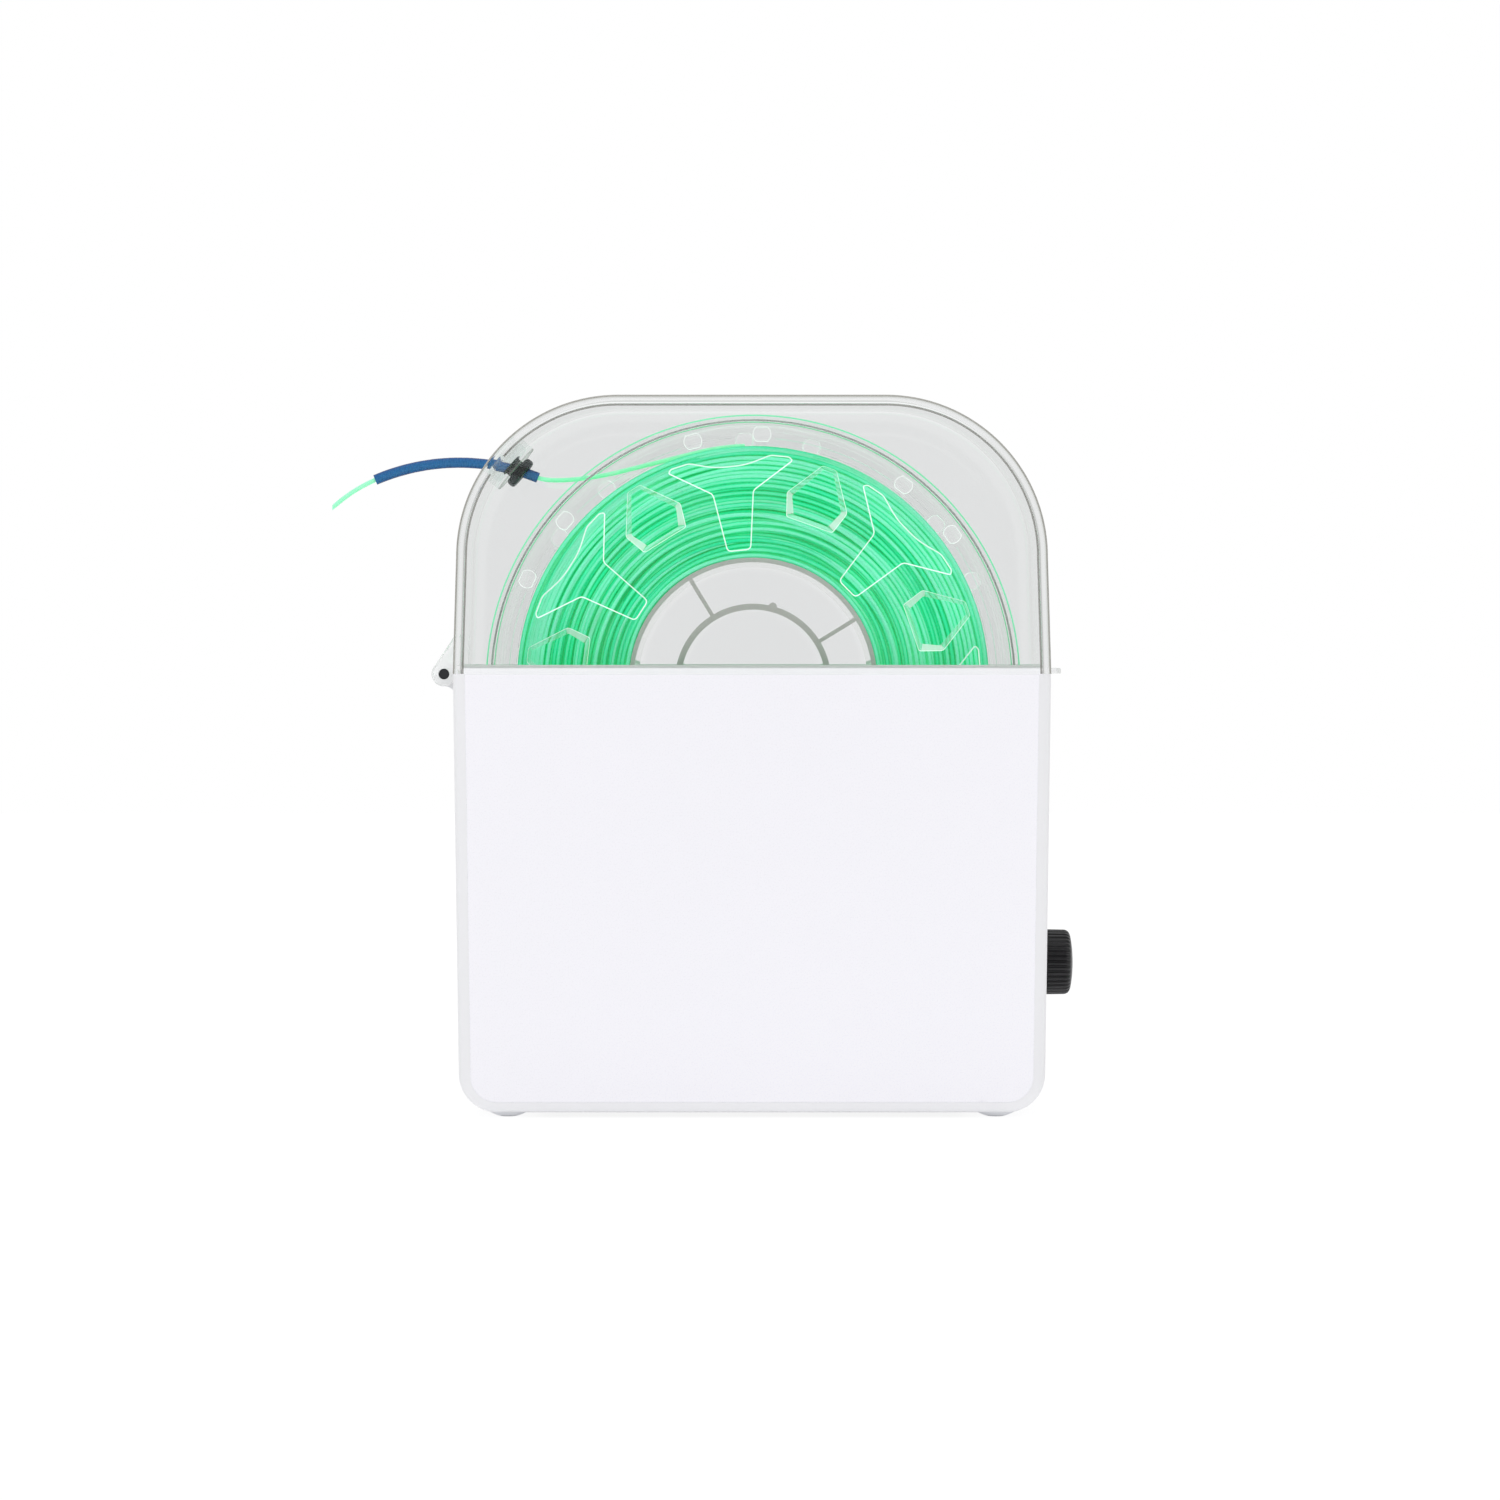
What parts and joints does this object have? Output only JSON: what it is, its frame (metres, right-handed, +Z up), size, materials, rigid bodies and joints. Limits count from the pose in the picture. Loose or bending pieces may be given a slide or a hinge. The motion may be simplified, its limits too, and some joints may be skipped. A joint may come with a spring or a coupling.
{
  "type": "filament dryer box",
  "caption": "Heated filament dryer: white housing, hinged clear lid with a feed tube, spool on rollers, side knob and display.",
  "frame": {"origin": "centre of the flat underside of the housing, in the plane of the base cover; the rubber feet stand 2 mm below it", "axes": "+X towards the narrow face with the knob, +Y towards the rear broad face, +Z up; the lid hinge is on the -X face"},
  "size_m": [0.285, 0.1, 0.2725],
  "materials": {
    "white_housing": "satin white moulding",
    "white_panel": "satin white sheet moulding",
    "cover_white": "fine textured moulding",
    "screw_steel": "zinc-plated screws",
    "foot_rubber": "soft dark grey rubber",
    "chamber_white": "heat-resistant moulding",
    "duct_grey": "glass-filled moulding",
    "fan_black": "black moulding",
    "rotor_grey": "dark moulding",
    "heater_fins": "bare aluminium fins",
    "terminal_brass": "bare brass tabs",
    "board_green": "solder mask green",
    "display_dark": "dark display block",
    "window_dark": "polished smoked window",
    "encoder_metal": "plated metal",
    "plunger_white": "natural moulding",
    "knob_black": "satin black moulding",
    "jack_black": "black moulding",
    "lead_black": "black sheath",
    "lead_red": "red silicone sheath",
    "lead_grey": "grey sheath",
    "sensor_white": "white moulding",
    "pin_steel": "blackened steel",
    "seal_silicone": "white silicone",
    "roller_rubber": "black tyre-like tread",
    "axle_steel": "ground steel",
    "bearing_steel": "ground steel",
    "ball_steel": "polished steel",
    "spacer_white": "natural moulding",
    "lid_clear": "clear polished moulding",
    "grommet_black": "soft black rubber",
    "tube_blue": "translucent blue tube",
    "filament_green": "translucent mint green strand",
    "winding_green": "wound translucent green strand",
    "spool_clear": "clear moulding"
  },
  "bodies": {
    "housing": {"body_shell": "white_housing", "side_panel_front": "white_panel", "side_panel_rear": "white_panel", "base_cover": "cover_white", "cover_screws": "screw_steel", "rubber_feet": "foot_rubber", "chamber_floor": "chamber_white", "floor_screws": "screw_steel", "bay_cover": "chamber_white", "air_duct": "duct_grey", "duct_screws": "screw_steel", "fan_frame": "fan_black", "fan_screws": "screw_steel", "ptc_heater": "heater_fins", "heater_terminals": "terminal_brass", "control_board": "board_green", "board_screws": "screw_steel", "display_module": "display_dark", "display_window": "window_dark", "encoder_body": "encoder_metal", "encoder_nut": "encoder_metal", "dc_jack": "jack_black", "power_lead": "lead_black", "heater_lead": "lead_red", "fan_lead": "lead_grey", "sensor_lead": "lead_grey", "humidity_sensor": "sensor_white", "hinge_pin": "pin_steel", "rim_seal": "seal_silicone", "roller_axle_left": "axle_steel", "roller_axle_right": "axle_steel", "bearing_inner_races": "bearing_steel", "bearing_balls": "ball_steel", "axle_spacers": "spacer_white", "axle_clips": "screw_steel"},
    "lid": {"lid_shell": "lid_clear", "port_grommet": "grommet_black", "feed_tube": "tube_blue", "filament_lead": "filament_green"},
    "spool": {"spool_half_front": "spool_clear", "spool_half_rear": "spool_clear", "filament_winding": "winding_green"},
    "left_rollers": {"roller_left": "roller_rubber", "bearing_outer_left": "bearing_steel"},
    "right_rollers": {"roller_right": "roller_rubber", "bearing_outer_right": "bearing_steel"},
    "fan_impeller": {"fan_rotor": "rotor_grey"},
    "push_plunger": {"encoder_plunger": "plunger_white"},
    "knob": {"encoder_shaft": "encoder_metal", "control_knob": "knob_black"}
  },
  "joints": [
    {"name": "lid_hinge", "type": "hinge", "parent": "housing", "child": "lid", "pos_m": [-0.1167, 0, 0.1652], "axis": [0, -1, 0], "range_deg": [0, 105]},
    {"name": "spool_spin", "type": "hinge", "parent": "housing", "child": "spool", "pos_m": [0.0004, 0, 0.1622], "axis": [0, -1, 0], "continuous": true},
    {"name": "left_roller_spin", "type": "hinge", "parent": "housing", "child": "left_rollers", "pos_m": [-0.06351, 0, 0.07092], "axis": [0, -1, 0], "continuous": true},
    {"name": "right_roller_spin", "type": "hinge", "parent": "housing", "child": "right_rollers", "pos_m": [0.06431, 0, 0.07092], "axis": [0, -1, 0], "continuous": true},
    {"name": "fan_spin", "type": "hinge", "parent": "housing", "child": "fan_impeller", "pos_m": [-0.03, 0, 0.04], "axis": [0, 0, 1], "continuous": true},
    {"name": "knob_push", "type": "slide", "parent": "housing", "child": "push_plunger", "axis": [-1, 0, 0], "range_m": [0, 0.0005]},
    {"name": "knob_turn", "type": "hinge", "parent": "push_plunger", "child": "knob", "pos_m": [0.11, 0, 0.0543], "axis": [1, 0, 0], "continuous": true}
  ],
  "couplings": [
    {"joint": "left_roller_spin", "follows": "spool_spin", "ratio": -10.14},
    {"joint": "right_roller_spin", "follows": "spool_spin", "ratio": -10.14}
  ]
}
